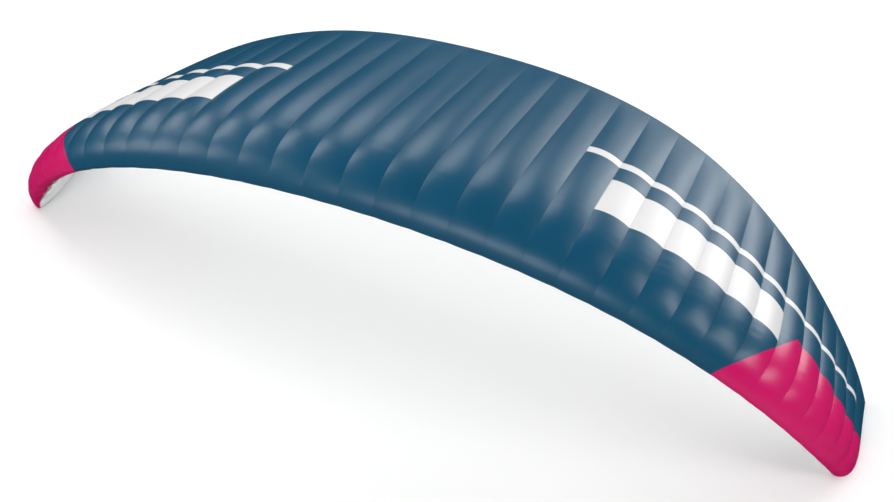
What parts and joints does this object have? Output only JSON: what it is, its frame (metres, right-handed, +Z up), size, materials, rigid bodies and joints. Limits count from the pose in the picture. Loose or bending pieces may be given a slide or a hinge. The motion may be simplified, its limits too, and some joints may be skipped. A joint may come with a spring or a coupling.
{
  "type": "paraglider wing",
  "caption": "Inflated ram-air paraglider canopy with crowned cells, air intakes under the nose and profile ribs, standing as an arch on its flat-footed tips.",
  "frame": {"origin": "on the surface that the tips stand on, below the middle of the wing's box", "axes": "+X along the span, to the right seen from the front; -Y towards the leading edge; +Z up"},
  "size_m": [9.959, 3.0018, 2.564],
  "materials": {
    "top_cloth": "coated ripstop nylon, satin",
    "bottom_cloth": "coated ripstop nylon, satin",
    "rib_cloth": "stiffer coated nylon, matte"
  },
  "bodies": {
    "root": {"top_sail_far_left": "top_cloth", "top_sail_left": "top_cloth", "top_sail_near_left": "top_cloth", "top_sail_middle": "top_cloth", "top_sail_near_right": "top_cloth", "top_sail_right": "top_cloth", "top_sail_far_right": "top_cloth", "bottom_sail_far_left": "bottom_cloth", "bottom_sail_left": "bottom_cloth", "bottom_sail_near_left": "bottom_cloth", "bottom_sail_middle": "bottom_cloth", "bottom_sail_near_right": "bottom_cloth", "bottom_sail_right": "bottom_cloth", "bottom_sail_far_right": "bottom_cloth", "rib_l18": "rib_cloth", "rib_l17": "rib_cloth", "rib_l16": "rib_cloth", "rib_l15": "rib_cloth", "rib_l14": "rib_cloth", "rib_l13": "rib_cloth", "rib_l12": "rib_cloth", "rib_l11": "rib_cloth", "rib_l10": "rib_cloth", "rib_l09": "rib_cloth", "rib_l08": "rib_cloth", "rib_l07": "rib_cloth", "rib_l06": "rib_cloth", "rib_l05": "rib_cloth", "rib_l04": "rib_cloth", "rib_l03": "rib_cloth", "rib_l02": "rib_cloth", "rib_l01": "rib_cloth", "rib_r01": "rib_cloth", "rib_r02": "rib_cloth", "rib_r03": "rib_cloth", "rib_r04": "rib_cloth", "rib_r05": "rib_cloth", "rib_r06": "rib_cloth", "rib_r07": "rib_cloth", "rib_r08": "rib_cloth", "rib_r09": "rib_cloth", "rib_r10": "rib_cloth", "rib_r11": "rib_cloth", "rib_r12": "rib_cloth", "rib_r13": "rib_cloth", "rib_r14": "rib_cloth", "rib_r15": "rib_cloth", "rib_r16": "rib_cloth", "rib_r17": "rib_cloth", "rib_r18": "rib_cloth"}
  },
  "joints": []
}
